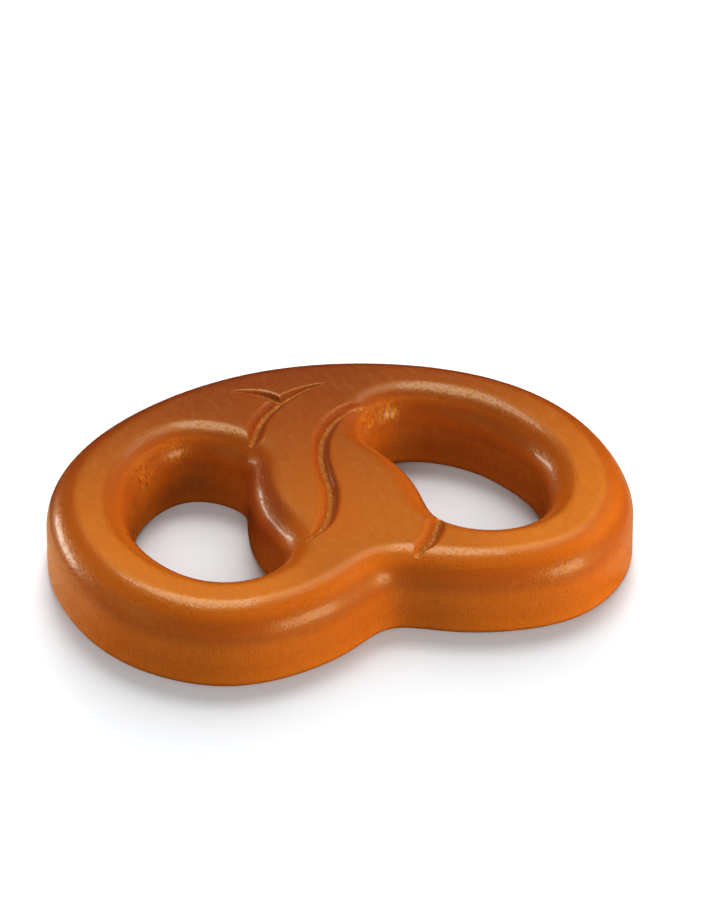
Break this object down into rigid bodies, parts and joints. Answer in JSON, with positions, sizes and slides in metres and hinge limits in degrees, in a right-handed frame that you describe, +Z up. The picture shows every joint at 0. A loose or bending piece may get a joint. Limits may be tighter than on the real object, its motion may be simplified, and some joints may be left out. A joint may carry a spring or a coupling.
{
  "type": "wooden toy pretzel",
  "caption": "Flat wooden play-food pretzel: a rounded board cut to the knot's outline with a bean-shaped hole on each side, and carved lines where the arms cross.",
  "frame": {"origin": "on the flat back, under the middle of the pretzel's box", "axes": "+X across the pretzel to its right-hand hole, +Y to its back, away from the dent between the two lobes, +Z up out of the carved face"},
  "size_m": [0.1, 0.0788, 0.014],
  "materials": {
    "stained_wood": "orange-brown stain under a satin clear lacquer, browner on the flat face"
  },
  "bodies": {
    "root": {"pretzel": "stained_wood"}
  },
  "joints": []
}
